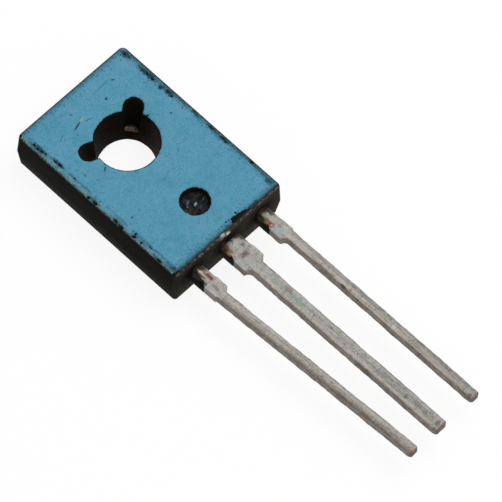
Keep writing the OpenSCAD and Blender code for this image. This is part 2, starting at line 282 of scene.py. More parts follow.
COLLECTOR_STAINS = [
    (-0.5, -7.2, 0.12, 0.34, (34, 27, 21), 0.95), (-0.58, -7.62, 0.08, 0.24, (40, 34, 28), 0.9),
    (-0.38, -7.15, 0.14, 0.24, (96, 58, 37), 0.95), (-0.4, -7.45, 0.12, 0.16, (132, 86, 58), 0.9),
    (0.05, -7.2, 0.22, 0.17, (184, 194, 192), 0.8), (0.45, -6.98, 0.18, 0.16, (54, 39, 30), 0.95),
    (0.57, -7.18, 0.1, 0.3, (52, 42, 34), 0.9), (-0.47, -7.56, 0.07, 0.09, (176, 164, 128), 0.85),
    (-0.46, -7.78, 0.09, 0.11, (178, 130, 98), 0.8), (0.0, -8.05, 0.25, 0.14, (112, 96, 91), 0.95),
    (0.33, -7.58, 0.13, 0.08, (106, 106, 101), 0.85), (-0.1, -7.58, 0.12, 0.04, (112, 110, 104), 0.7),
    (-0.42, -8.05, 0.16, 0.2, (150, 168, 170), 0.6), (-0.1, -8.5, 0.18, 0.2, (150, 162, 164), 0.5),
    (0.02, -10.3, 0.1, 0.4, (138, 156, 150), 0.6), (0.0, -11.6, 0.1, 0.4, (136, 156, 152), 0.6),
    (0.14, -10.85, 0.16, 0.22, (112, 106, 101), 0.6), (0.33, -9.55, 0.06, 0.2, (112, 102, 94), 0.7),
    (-0.3, -10.2, 0.05, 0.05, (206, 192, 168), 0.9), (0.13, -13.75, 0.08, 0.07, (104, 106, 103), 0.8),
    (-0.38, -16.6, 0.1, 0.1, (60, 56, 52), 0.9), (0.02, -18.8, 0.11, 0.09, (98, 98, 93), 0.9),
    (0.16, -17.3, 0.12, 0.2, (124, 124, 117), 0.7), (0.18, -17.75, 0.06, 0.06, (100, 100, 96), 0.8),
    (0.13, -19.5, 0.15, 0.28, (124, 122, 114), 0.7), (0.1, -20.05, 0.14, 0.16, (120, 118, 110), 0.7),
    (0.12, -20.85, 0.14, 0.09, (94, 90, 86), 0.8), (-0.24, -20.92, 0.1, 0.08, (88, 68, 62), 0.7),
    (0.2, -15.9, 0.1, 0.2, (136, 140, 134), 0.6), (0.05, -14.6, 0.12, 0.25, (140, 146, 140), 0.5),
]
BASE_STAINS = [
    (1.98, -7.22, 0.15, 0.36, (36, 31, 25), 0.95), (1.92, -7.66, 0.08, 0.2, (40, 34, 28), 0.9),
    (2.3, -7.03, 0.26, 0.1, (66, 56, 40), 0.9), (2.22, -7.1, 0.1, 0.1, (164, 152, 124), 0.85),
    (2.1, -7.42, 0.09, 0.18, (104, 92, 74), 0.85), (2.5, -7.05, 0.1, 0.2, (60, 46, 35), 0.9),
    (2.57, -7.2, 0.1, 0.3, (52, 42, 34), 0.9), (2.07, -7.76, 0.14, 0.18, (132, 68, 42), 0.95),
    (2.07, -7.82, 0.05, 0.04, (206, 200, 190), 0.9), (2.46, -7.37, 0.07, 0.06, (96, 62, 56), 0.9),
    (2.13, -8.3, 0.17, 0.2, (144, 170, 175), 0.75), (2.3, -8.12, 0.09, 0.12, (150, 126, 122), 0.7),
    (2.38, -8.6, 0.12, 0.1, (160, 156, 130), 0.5), (2.16, -11.2, 0.05, 0.6, (104, 72, 58), 0.7),
    (2.2, -11.75, 0.08, 0.2, (122, 104, 102), 0.6), (2.14, -12.6, 0.06, 0.16, (62, 54, 48), 0.9),
    (2.6, -17.3, 0.05, 0.36, (108, 106, 100), 0.7), (2.56, -19.2, 0.08, 0.24, (114, 112, 106), 0.6),
    (2.24, -20.92, 0.12, 0.09, (88, 74, 68), 0.8), (2.28, -15.8, 0.08, 0.1, (192, 188, 180), 0.7),
    (2.25, -19.8, 0.05, 0.3, (150, 118, 114), 0.5), (2.5, -10.7, 0.1, 0.25, (128, 126, 120), 0.6),
]

# Stains on the slivers of flash beside the leads: centre, half width, half length and sRGB colour
FLASH_STAINS = [
    (-2.55, -7.3, 0.12, 0.26, (50, 44, 52)), (-0.52, -7.12, 0.1, 0.2, (74, 47, 32)),
    (-0.55, -7.5, 0.09, 0.14, (136, 122, 94)), (-0.66, -7.35, 0.08, 0.2, (62, 52, 38)),
    (1.88, -7.3, 0.12, 0.24, (60, 50, 36)), (1.95, -7.56, 0.08, 0.12, (108, 96, 74)),
]

# Rust on the end face over the leads: centre across and up, half width, half height and sRGB colour
END_RUST = [
    (-2.36, 1.86, 0.12, 0.12, (66, 54, 34)), (-2.17, 1.84, 0.12, 0.16, (78, 47, 31)),
    (-0.42, 1.86, 0.13, 0.18, (80, 48, 31)), (0.42, 1.8, 0.2, 0.1, (54, 38, 28)),
    (2.2, 1.84, 0.2, 0.14, (72, 62, 42)), (2.48, 1.8, 0.1, 0.1, (60, 42, 30)),
]

# Soot on the end face at each lead: shift from its middle, height, half width and half height
SOOT = (-0.15, 1.8, 0.8, 0.5)

# Scrapes on the bevel over the middle lead: place across and inwards, half width, half length and colour
SCRAPES = [
    (-0.3, 0.12, 0.34, 0.08, (112, 105, 98)), (-0.36, 0.18, 0.13, 0.06, (170, 178, 182)),
    (-0.06, 0.08, 0.1, 0.06, (218, 204, 188)),
]

# Painted glints on the recess's floor, highlights painted into its colour: place from its centre, size and
# sRGB colour
PAINTED_GLINTS = [
    (0.04, 0.0, 0.07, (150, 178, 188)), (-0.18, 0.32, 0.08, (92, 96, 104)),
    (-0.34, 0.16, 0.05, (116, 124, 132)), (0.52, -0.06, 0.06, (88, 86, 92)),
    (-0.5, -0.12, 0.14, (66, 57, 52)),
]
GLINT_LENGTH = 1.5
GLINT_WIDTH = 0.7
GLINT_TURN = 25

# Leads by node: piece, middle at its shoulder's end, lean towards +X, half width, colours and stains
LEADS = {
    "collector_frame": ("collector_stamping", 0, OTHER_LEAN, MIDDLE_HALF_WIDTH,
                        COLLECTOR_TONES, COLLECTOR_STAINS),
    "emitter_lead": ("emitter_lead_dipped", -LEAD_PITCH, EMITTER_LEAN, OUTER_HALF_WIDTH,
                     EMITTER_TONES, EMITTER_STAINS),
    "base_lead": ("base_lead_dipped", LEAD_PITCH, OTHER_LEAN, OUTER_HALF_WIDTH,
                  BASE_TONES, BASE_STAINS),
}


def srgb(red, green, blue):
    """Linear colour, with its alpha, of an sRGB colour written in 0 to 255."""
    def linear(value):
        share = value / 255
        return share / 12.92 if share <= 0.04045 else ((share + 0.055) / 1.055) ** 2.4
    return (linear(red), linear(green), linear(blue), 1.0)


class Graph:
    """Short calls that add and join the nodes of one material. Places are in millimetres."""

    # Sockets of the Mix node that hold colours
    MIX_FIRST = 6
    MIX_SECOND = 7
    MIX_RESULT = 2

    # Share of a speck's radius that is full
    DOT_CORE = 0.4

    def __init__(self, name):
        self.material = bpy.data.materials.new(name)
        self.material.use_nodes = True
        self.tree = self.material.node_tree
        self.tree.nodes.clear()
        self.shader = self.add("ShaderNodeBsdfPrincipled")
        output = self.add("ShaderNodeOutputMaterial")
        self.join(self.shader.outputs["BSDF"], output.inputs["Surface"])
        place = self.add("ShaderNodeTexCoord").outputs["Object"]
        self.place = self.vector("MULTIPLY", place, (1 / MM,) * 3)
        self.x, self.y, self.z = self.split(self.place)
        self.rag = self.math("SUBTRACT", self.cloud(8, 5, 0.75, shift=7), 0.5)

    def add(self, kind, **settings):
        node = self.tree.nodes.new(kind)
        for key, value in settings.items():
            setattr(node, key, value)
        return node

    def join(self, source, target):
        """Link a socket to another, or set a constant on it."""
        if hasattr(source, "is_linked"):
            self.tree.links.new(source, target)
        else:
            target.default_value = source

    def math(self, operation, first, second=0.0, third=0.0):
        node = self.add("ShaderNodeMath", operation=operation)
        self.join(first, node.inputs[0])
        self.join(second, node.inputs[1])
        self.join(third, node.inputs[2])
        return node.outputs["Value"]

    def vector(self, operation, first, second=(0, 0, 0)):
        node = self.add("ShaderNodeVectorMath", operation=operation)
        self.join(first, node.inputs[0])
        self.join(second, node.inputs[1])
        return node.outputs["Value" if operation == "LENGTH" else "Vector"]

    def split(self, vector):
        node = self.add("ShaderNodeSeparateXYZ")
        self.join(vector, node.inputs["Vector"])
        return node.outputs

    def combine(self, x, y, z=0.0):
        node = self.add("ShaderNodeCombineXYZ")
        self.join(x, node.inputs["X"])
        self.join(y, node.inputs["Y"])
        self.join(z, node.inputs["Z"])
        return node.outputs["Vector"]

    def away(self, x=0, y=0):
        """Distance from the upright line through (x, y)."""
        offset = self.vector("SUBTRACT", self.place, (x, y, 0))
        return self.vector("LENGTH", self.vector("MULTIPLY", offset, (1, 1, 0)))

    def smooth(self, value, low, high):
        """0 at low, 1 at high, with soft ends. High may be under low."""
        node = self.add("ShaderNodeMapRange", interpolation_type="SMOOTHSTEP")
        rising = low < high
        self.join(value, node.inputs["Value"])
        self.join(min(low, high), node.inputs["From Min"])
        self.join(max(low, high), node.inputs["From Max"])
        self.join(0.0 if rising else 1.0, node.inputs["To Min"])
        self.join(1.0 if rising else 0.0, node.inputs["To Max"])
        return node.outputs["Result"]

    def product(self, *shares):
        result = shares[0]
        for share in shares[1:]:
            result = self.math("MULTIPLY", result, share)
        return result

    def largest(self, *shares):
        result = shares[0]
        for share in shares[1:]:
            result = self.math("MAXIMUM", result, share)
        return result

    def frayed(self, value, amount):
        """Value that ragged noise moves up and down by up to half the amount."""
        return self.math("MULTIPLY_ADD", self.rag, amount, value)

    def cloud(self, scale, detail=3.0, roughness=0.55, place=None, shift=0.0):
        """Noise from 0 to 1, about 0.5. The scale is in features per millimetre."""
        node = self.add("ShaderNodeTexNoise", noise_dimensions="4D")
        self.join(place or self.place, node.inputs["Vector"])
        node.inputs["W"].default_value = shift
        node.inputs["Scale"].default_value = scale
        node.inputs["Detail"].default_value = detail
        node.inputs["Roughness"].default_value = roughness
        return node.outputs["Fac"]

    def dots(self, scale, size, share, seed=0.0):
        """Round specks with soft rims, seen from above, in a share of the cells of a grid."""
        node = self.add("ShaderNodeTexVoronoi", voronoi_dimensions="2D")
        self.join(self.vector("ADD", self.place, (seed, seed, seed)), node.inputs["Vector"])
        node.inputs["Scale"].default_value = scale
        pick = self.add("ShaderNodeSeparateColor")
        self.join(node.outputs["Color"], pick.inputs["Color"])
        chosen = self.math("LESS_THAN", pick.outputs["Red"], share)
        core = self.DOT_CORE * size * scale
        return self.product(self.smooth(node.outputs["Distance"], size * scale, core), chosen)

    def blot(self, x, y, half_width, half_length, turn=0.0, ragged=1.0, soft=0.3, place=None):
        """Ragged spot that is cut through along Z, or across the given place's first two axes."""
        shifted = self.vector("SUBTRACT", place or self.place, (x, y, 0))
        spin = self.add("ShaderNodeVectorRotate", rotation_type="Z_AXIS")
        self.join(shifted, spin.inputs["Vector"])
        spin.inputs["Angle"].default_value = math.radians(-turn)
        squeezed = self.vector("MULTIPLY", spin.outputs["Vector"], (1 / half_width, 1 / half_length, 0))
        size = self.vector("LENGTH", squeezed)
        return self.smooth(self.frayed(size, ragged), 1 + soft, 1 - soft)

    def mix(self, share, first, second):
        node = self.add("ShaderNodeMix", data_type="RGBA")
        self.join(share, node.inputs["Factor"])
        self.join(first, node.inputs[self.MIX_FIRST])
        self.join(second, node.inputs[self.MIX_SECOND])
        return node.outputs[self.MIX_RESULT]

    def tint(self, colour, tone, *shares):
        """Colour with an sRGB tone laid over it, as strong as the product of the shares."""
        return self.mix(self.product(*shares), colour, srgb(*tone))

    def ramp(self, value, *stops):
        """Colour ramp from stops of a position and an sRGB tone."""
        node = self.add("ShaderNodeValToRGB")
        self.join(value, node.inputs["Fac"])
        elements = node.color_ramp.elements
        while len(elements) < len(stops):
            elements.new(0.5)
        for element, (position, tone) in zip(elements, stops):
            element.position = position
            element.color = srgb(*tone)
        return node.outputs["Color"]

    def bump(self, height, depth, below=None):
        """Normal from a height of 0 to 1, which stands for the given depth."""
        node = self.add("ShaderNodeBump")
        node.inputs["Strength"].default_value = 1.0
        node.inputs["Distance"].default_value = depth * MM
        self.join(height, node.inputs["Height"])
        if below:
            self.join(below, node.inputs["Normal"])
        return node.outputs["Normal"]

    def finish(self, colour, roughness, normal=None, metallic=0.0, specular=0.5):
        self.join(colour, self.shader.inputs["Base Color"])
        self.join(roughness, self.shader.inputs["Roughness"])
        self.join(metallic, self.shader.inputs["Metallic"])
        self.join(specular, self.shader.inputs["Specular IOR Level"])
        if normal:
            self.join(normal, self.shader.inputs["Normal"])
        return self.material


def mottled_blue(g, grain):
    """Blue of the paint away from its rims: mottled, grainy, patchy, flecked, specked and hairlined."""
    mottle = g.cloud(0.8, 4, 0.6)
    colour = g.ramp(mottle, (0.3, (76, 147, 174)), (0.5, (85, 155, 181)), (0.7, (96, 160, 184)))
    colour = g.tint(colour, (62, 120, 147), g.smooth(grain, 0.45, 0.75), 0.7)
    colour = g.tint(colour, (120, 174, 197), g.smooth(grain, 0.5, 0.25), 0.5)
    patches = g.cloud(3.2, 4, 0.7, shift=6)
    colour = g.tint(colour, (108, 150, 188), g.smooth(patches, 0.5, 0.66), 0.55)
    colour = g.tint(colour, (68, 140, 158), g.smooth(patches, 0.48, 0.34), 0.5)
    flecks = g.cloud(4, 5, 0.65, shift=4)
    colour = g.tint(colour, (54, 104, 128), g.smooth(flecks, 0.62, 0.72), 0.5)
    colour = g.tint(colour, (38, 72, 86), g.dots(1.3, 0.05, 0.15), 0.75)
    colour = g.tint(colour, (34, 62, 75), g.dots(2.6, 0.035, 0.16, seed=3.7), 0.75)
    hairs = g.cloud(1.0, 3, 0.6, place=g.vector("MULTIPLY", g.place, (0.5, 9, 1)), shift=3)
    return g.tint(colour, (60, 112, 138), g.smooth(hairs, 0.66, 0.72), 0.35)


def pale_left_rim(g, colour, left):
    """Colour with a broken dark line inside the left rim, and a pale, flaked band along it."""
    beside = g.frayed(g.math("SUBTRACT", g.x, LINE_X), 0.1)
    line = g.smooth(g.math("ABSOLUTE", beside), *LINE_BAND)
    broken = g.smooth(g.cloud(2.5, 3, 0.6, shift=5), 0.4, 0.6)
    colour = g.tint(colour, (42, 104, 136), line, broken, 0.6)
    pale = g.smooth(g.frayed(left, 0.35), *PALE_BAND)
    colour = g.tint(colour, (104, 138, 142), pale, 0.6)
    flaked = g.smooth(g.cloud(7, 4, 0.7, shift=12), 0.52, 0.62)
    return g.tint(colour, (146, 162, 150), pale, flaked, 0.65)


def rim_wear(g, left, right, ends):
    """Share of the paint that is worn off near its rims, in speckles and specks."""
    speckle = g.cloud(5, 3, 0.65, shift=8)
    near = g.math("MINIMUM", g.math("MINIMUM", left, right), ends)
    along_right = g.product(g.smooth(right, *WORN_RIGHT_BAND), g.smooth(g.y, *WORN_RIGHT_STRETCH))
    return g.largest(
        g.product(g.smooth(left, *WORN_LEFT_BAND), g.smooth(speckle, 0.54, 0.64)),
        g.product(along_right, g.smooth(speckle, 0.48, 0.62)),
        g.product(g.smooth(ends, *WORN_END_BAND), g.smooth(speckle, 0.5, 0.62)),
        g.product(g.dots(6, 0.045, 0.4, seed=1.3), g.smooth(near, *FINE_SPECK_BAND)),
        g.product(g.dots(4, 0.05, 0.3, seed=5.1), g.smooth(near, *COARSE_SPECK_BAND)),
    )


def blue_paint():
    """Matt blue paint: pale along its left rim, darkened with painted shade along the others, and worn,
    smudged and scratched.
    """
    g = Graph("blue_paint")
    grain = g.cloud(10, 3, 0.65, shift=2)
    left = g.math("SUBTRACT", g.x, PAINT_LEFT)
    right = g.math("SUBTRACT", PAINT_RIGHT, g.x)
    plain_end = g.math("SUBTRACT", PAINT_PLAIN_END, g.y)
    lead_end = g.math("SUBTRACT", g.y, PAINT_LEAD_END)
    ends = g.math("MINIMUM", plain_end, lead_end)
    right_and_end_rims = g.math("MINIMUM", right, ends)
    colour = mottled_blue(g, grain)
    # Painted shade: the paint darkened in a soft band along its right rim and its ends
    colour = g.tint(colour, (52, 96, 112), g.smooth(g.frayed(right_and_end_rims, 0.5), *RIM_SHADE_BAND), 0.6)
    colour = pale_left_rim(g, colour, left)
    colour = g.tint(colour, WORN_TONE, rim_wear(g, left, right, ends), 0.8)
    for x, y, half_width, half_length, strength in SMUDGES:
        smudge = g.blot(x, y, half_width, half_length, ragged=3.2, soft=0.5)
        colour = g.tint(colour, SMUDGE_TONE, smudge, strength)
    for x, y, half_length, half_width, turn, tone in SCRATCHES:
        colour = g.tint(colour, tone, g.blot(x, y, half_length, half_width, turn, ragged=0.8))
    colour = g.tint(colour, WORN_TONE, g.smooth(g.frayed(right_and_end_rims, 0.25), *EDGE_BAND), 0.8)
    colour = g.tint(colour, (40, 46, 46), g.smooth(g.frayed(left, 0.2), *LEFT_EDGE_BAND), 0.9)
    roughness = g.math("MULTIPLY_ADD", g.cloud(4, 3), 0.2, 0.5)
    return g.finish(colour, roughness, g.bump(grain, 0.008), specular=0.12)


def under_face(g, start, full):
    """Share that goes from 0 to 1 between two depths under the marking face."""
    return g.smooth(g.z, FACE_Z - start, FACE_Z - full)


def in_from_end(g, start, full):
    """Share that goes from 0 to 1 between two distances inwards from the end that the leads leave."""
    return g.smooth(g.y, END_FACE_Y + start, END_FACE_Y + full)


def brown_hole(g, colour):
    """Colour with the hole's brown wall, which is paler on its right, and on its left in streaks that are
    partly painted light.
    """
    hole = g.product(g.smooth(g.away(), 2.7, 2.3), under_face(g, 0.02, 0.25))
    colour = g.tint(colour, (27, 20, 13), hole, 0.9)
    right = g.product(hole, g.smooth(g.x, 0.6, 1.6), g.smooth(g.y, 0.4, -0.6), g.smooth(g.rag, -0.25, 0.2))
    colour = g.tint(colour, (70, 58, 41), right, 0.9)
    # Paler streaks on the left wall: partly their tone, partly painted light where the wall gets little
    # light
    left = g.product(hole, g.smooth(g.x, -0.3, -1.2), g.smooth(g.rag, -0.3, 0.2))
    return g.tint(colour, (42, 34, 25), left, 0.8)


def stained_end(g, colour):
    """Colour with painted light on the end face, paler towards +X as it is lit from there, with dust, soot
    and rust on it, and stains on the flash.
    """
    # Painted light: the end face painted paler, more so towards +X, as it is lit from that side; dust lies
    # in patches over the same stretch
    end_light_and_dust = g.product(in_from_end(g, 0.35, 0.15), g.smooth(g.x, -12, 3.2))
    colour = g.tint(colour, (64, 62, 55), end_light_and_dust, 0.6)
    dust = g.smooth(g.cloud(3, 5, 0.75, shift=11), 0.46, 0.66)
    colour = g.tint(colour, (74, 62, 50), end_light_and_dust, dust, 0.6)
    front = g.combine(g.x, g.z)
    root = in_from_end(g, 0.4, 0.2)
    shift, height, half_width, half_height = SOOT
    for middle in (-LEAD_PITCH, 0, LEAD_PITCH):
        soot = g.blot(middle + shift, height, half_width, half_height, ragged=1.8, soft=0.6, place=front)
        colour = g.tint(colour, (11, 10, 8), soot, root, 0.9)
    on_face = g.product(root, in_from_end(g, -0.04, 0))
    for x, z, half_width, half_height, tone in END_RUST:
        rust = g.blot(x, z, half_width, half_height, ragged=3, soft=0.6, place=front)
        colour = g.tint(colour, tone, rust, on_face, 0.9)
    flash = in_from_end(g, 0.02, -0.02)
    for x, y, half_width, half_length, tone in FLASH_STAINS:
        stain = g.blot(x, y, half_width, half_length, ragged=2.6, soft=0.5)
        colour = g.tint(colour, tone, stain, flash, 0.9)
    return colour


def scraped_bevel(g, colour):
    """Colour with the bevel over the leads paler in specks, partly worn and partly a painted highlight
    along the edge, and scraped over the middle lead.
    """
    top = under_face(g, 0.2, 0.12)
    bevel = g.product(under_face(g, 0.09, 0.03), in_from_end(g, 0.24, 0.18))
    # Paler specks along the bevel: partly a worn edge, partly a painted highlight on the edge
    rubbed_and_highlit = g.smooth(g.cloud(5, 3, 0.7, shift=4), 0.45, 0.62)
    colour = g.tint(colour, (104, 110, 112), bevel, rubbed_and_highlit, 0.9)
    for x, inwards, half_width, half_length, tone in SCRAPES:
        scrape = g.blot(x, END_FACE_Y + inwards, half_width, half_length, ragged=2.6, soft=0.4)
        colour = g.tint(colour, tone, scrape, top)
    return colour


def recess_with_painted_glints(g, colour, recess, pits):
    """Colour with the recess's floor pitted, with painted sheen in patches and painted glints."""
    colour = g.tint(colour, (54, 53, 59), recess, g.smooth(pits, 0.4, 0.65))
    # Painted sheen: pale patches on the floor that stand for its shine
    painted_sheen = g.smooth(g.cloud(3.4, 4, 0.7, shift=1), 0.54, 0.7)
    colour = g.tint(colour, (84, 86, 94), recess, painted_sheen, 0.8)
    # Painted glints: small highlights painted on the floor
    for x, y, size, tone in PAINTED_GLINTS:
        length, width = GLINT_LENGTH * size, GLINT_WIDTH * size
        painted_glint = g.blot(x, RECESS_Y + y, length, width, GLINT_TURN, ragged=3.2, soft=0.6)
        colour = g.tint(colour, tone, recess, painted_glint)
    return colour


def black_compound():
    """Black moulding compound: brown in the hole, paler and browner towards the bottom, with painted light
    on the end face, and stained where the leads leave it.
    """
    g = Graph("black_compound")
    grain = g.cloud(18, 3, 0.6, shift=3)
    colour = g.ramp(g.cloud(0.9, 4, 0.6), (0.3, (20, 20, 17)), (0.7, (28, 27, 24)))
    colour = g.tint(colour, (46, 44, 39), g.smooth(grain, 0.5, 0.8), 0.6)
    # Paler and browner towards the bottom
    colour = g.tint(colour, (42, 39, 31), g.smooth(g.frayed(g.z, 0.8), 0.6, 0.1), 0.6)
    colour = brown_hole(g, colour)
    colour = stained_end(g, colour)
    colour = scraped_bevel(g, colour)
    within = g.smooth(g.away(0, RECESS_Y), RECESS_RADIUS, 0.7)
    recess = g.product(within, g.smooth(g.z, RECESS_FLOOR + 0.06, RECESS_FLOOR + 0.02))
    pits = g.cloud(4, 5, 0.7, shift=9)
    colour = recess_with_painted_glints(g, colour, recess, pits)
    roughness = g.math("MULTIPLY_ADD", g.cloud(3, 3), 0.2, 0.6)
    rough_floor = g.bump(g.product(recess, pits), 0.12)
    return g.finish(colour, roughness, g.bump(grain, 0.006, rough_floor), specular=0.02)


def streaked_tin(g, aside, half_width, tones, grain, patches):
    """Colour of the dip: banded across the lead, drawn along it, grainy, patchy and specked."""
    streaks = g.cloud(1.0, 4, 0.6, place=g.vector("MULTIPLY", g.place, (5, 0.45, 2)))
    wander = g.math("MULTIPLY_ADD", g.math("SUBTRACT", streaks, 0.5), 0.5, 0.5)
    lead = g.ramp(g.math("MULTIPLY_ADD", aside, 0.5 / half_width, wander), *tones)
    shoulder = g.ramp(streaks, (0.3, (160, 157, 150)), (0.5, (175, 172, 166)), (0.7, (187, 185, 179)))
    colour = g.mix(g.smooth(g.y, SHOULDER_END_Y - 0.4, SHOULDER_END_Y + 0.1), lead, shoulder)
    drawn = g.vector("MULTIPLY", g.combine(aside, g.y, g.z), (14, 0.4, 4))
    lines = g.cloud(1.0, 3, 0.65, place=drawn, shift=1)
    colour = g.tint(colour, (108, 101, 91), g.smooth(lines, 0.48, 0.64), 0.65)
    colour = g.tint(colour, (188, 184, 176), g.smooth(lines, 0.46, 0.32), 0.55)
    colour = g.tint(colour, (84, 81, 75), g.smooth(grain, 0.5, 0.7), 0.8)
    colour = g.tint(colour, (204, 202, 196), g.smooth(grain, 0.46, 0.28), 0.8)
    colour = g.tint(colour, (118, 116, 108), g.smooth(patches, 0.55, 0.7), 0.5)
    colour = g.tint(colour, (178, 166, 160), g.smooth(patches, 0.45, 0.3), 0.4)
    colour = g.tint(colour, (88, 84, 78), g.dots(2.4, 0.06, 0.25), 0.7)
    colour = g.tint(colour, (120, 112, 106), g.smooth(g.y, *DARKER_STRETCH), 0.18)
    return g.tint(colour, (200, 198, 191), g.smooth(g.y, *PALER_STRETCH), 0.13)


def bare_copper(g, grain):
    """Colour of the heat plate, which is darker and rusty on the ledge in the notch, and has painted shade
    on the ledge's outer rim, deep in the notch.
    """
    plate = g.ramp(grain, (0.35, (150, 130, 116)), (0.65, (184, 170, 158)))
    ledge = g.ramp(grain, (0.35, (84, 63, 53)), (0.65, (146, 119, 104)))
    ledge = g.tint(ledge, (74, 34, 26), g.blot(*LEDGE_RUST_PLACE, LEDGE_RUST_RADIUS, LEDGE_RUST_RADIUS))
    # Painted shade: the ledge's outer rim, deep in the notch, darkened
    ledge = g.tint(ledge, (24, 17, 14), g.smooth(g.away(), *LEDGE_SHADE_RADII))
    return g.mix(g.smooth(g.z, *LEDGE_RISE), plate, ledge)


def dull_tin(name, middle, lean, half_width, tones, stains):
    """Dull tin dip over copper: streaked along the lead, browner and darker on the cut sides, partly their
    own tone and partly painted shade, stained at the root.
    """
    g = Graph(name)
    run = g.math("MAXIMUM", g.math("SUBTRACT", SHOULDER_END_Y, g.y), 0.0)
    aside = g.math("SUBTRACT", g.math("MULTIPLY_ADD", run, -math.tan(math.radians(lean)), g.x), middle)
    grain = g.cloud(9, 4, 0.7, shift=2)
    patches = g.cloud(2.2, 4, 0.65, shift=5)
    colour = streaked_tin(g, aside, half_width, tones, grain, patches)
    for x, y, half_x, half_y, tone, strength in stains:
        colour = g.tint(colour, tone, g.blot(x, y, half_x, half_y, ragged=2.6, soft=0.45), strength)
    # Sides picked by their slope, painted browner and darker: partly the sheared copper's tone, partly
    # painted shade
    upright = g.split(g.add("ShaderNodeNewGeometry").outputs["Normal"])[2]
    side = g.smooth(g.math("ABSOLUTE", upright), 0.75, 0.25)
    sheared_tone_and_shade = g.ramp(patches, (0.35, (164, 154, 146)), (0.5, (136, 127, 119)), (0.65, (100, 91, 83)))
    colour = g.mix(g.product(side, 0.75), colour, sheared_tone_and_shade)
    tip = g.smooth(g.frayed(g.y, 0.12), LEAD_TIP_Y + 0.13, LEAD_TIP_Y + 0.03)
    colour = g.tint(colour, (112, 84, 76), tip, 0.85)
    root = g.smooth(g.frayed(g.y, 1.1), END_FACE_Y - 0.25, END_FACE_Y + 0.1)
    colour = g.tint(colour, (52, 40, 31), root, 0.9)
    colour = g.mix(in_from_end(g, 1.0, 1.6), colour, bare_copper(g, grain))
    roughness = g.math("MULTIPLY_ADD", grain, 0.3, 0.45)
    return g.finish(colour, roughness, g.bump(grain, 0.02), metallic=0.15, specular=0.3)


def plain_metal(name, light, dark, roughness, metallic):
    """Metal or silicon inside the body, with a fine cloudy finish between two sRGB tones."""
    g = Graph(name)
    cloud = g.cloud(6, 3)
    colour = g.ramp(cloud, (0.3, dark), (0.7, light))
    return g.finish(colour, g.math("MULTIPLY_ADD", cloud, 0.2, roughness), g.bump(cloud, 0.004), metallic)


def clamp(value, low=0, high=1):
    return min(max(value, low), high)


def dress(mesh, material):
    mesh.materials.clear()
    mesh.materials.append(material)


def link(name, mesh, material):
    piece = bpy.data.objects.new(name, mesh)
    bpy.context.scene.collection.objects.link(piece)
    dress(mesh, material)
    return piece


def finish_piece(piece, node):
    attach(piece, "root")
    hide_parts(node)


def welded_copy(node):
    """Copy of a CAD node's mesh in millimetres, with its shared corners joined."""
    shape = bmesh.new()
    shape.from_mesh(frame["nodes"][node].data)
    bmesh.ops.scale(shape, vec=(1 / MM,) * 3, verts=shape.verts)
    bmesh.ops.remove_doubles(shape, verts=shape.verts, dist=WELD)
    return shape


def to_mesh(shape, name):
    """Mesh in metres, shaded smooth, from a bmesh in millimetres."""
    bmesh.ops.scale(shape, vec=(MM,) * 3, verts=shape.verts)
    mesh = bpy.data.meshes.new(name)
    shape.to_mesh(mesh)
    shape.free()
    mesh.shade_smooth()
    return mesh


def remeshed(node, name, material):
    """Bmesh of a CAD node in millimetres, with soft edges."""
    shape = welded_copy(node)
    mesh = bpy.data.meshes.new(name)
    shape.to_mesh(mesh)
    shape.free()
    piece = link(name, mesh, material)
    skin = piece.modifiers.new("skin", "REMESH")
    skin.mode = "VOXEL"
    skin.voxel_size = DIP_VOXEL
    soften = piece.modifiers.new("soften", "SMOOTH")
    soften.factor = DIP_FACTOR
    soften.iterations = DIP_PASSES
    graph = bpy.context.evaluated_depsgraph_get()
    shape = bmesh.new()
    shape.from_mesh(piece.evaluated_get(graph).to_mesh())
    bpy.data.objects.remove(piece)
    shape.normal_update()
    return shape


def dipped(node, name, material):
    """Lead of a CAD node with the soft edges and uneven skin of a tin dip, and a pinched tip."""
    shape = remeshed(node, name, material)
    for vertex in shape.verts:
        place = vertex.co
        if place.y < END_FACE_Y + DIP_REACH:
            lump = DIP_THICKNESS
            for scale in DIP_LUMP_SCALES:
                lump += DIP_LUMP * noise.noise(place * scale)
            bare = clamp((place.y - FLASH_END_Y) / DIP_FADE)
            vertex.co = place + vertex.normal * (lump * (1 - bare) - FLASH_CLEARANCE * bare)
            pinched = clamp((LEAD_TIP_Y + PINCH_LENGTH - place.y) / PINCH_LENGTH) ** 2
            vertex.co.z += PINCH_SHARE * pinched * (LEAD_TOP - vertex.co.z)
    return link(name, to_mesh(shape, name), material)


def rounded_box(x, y, low, high, corner):
    """Distance inside a rectangle with round corners, from its low and high corners."""
    over_x = np.maximum(low[0] + corner - x, x - high[0] + corner)
    over_y = np.maximum(low[1] + corner - y, y - high[1] + corner)
    outside = np.hypot(np.maximum(over_x, 0), np.maximum(over_y, 0))
    return corner - outside - np.minimum(np.maximum(over_x, over_y), 0)


def rough(x, y, scale, seed):
    """Noise about 0 at each place of a grid."""
    places = zip(x.ravel() * scale, y.ravel() * scale)
    return np.array([noise.noise(Vector((u, v, seed))) for u, v in places]).reshape(x.shape)


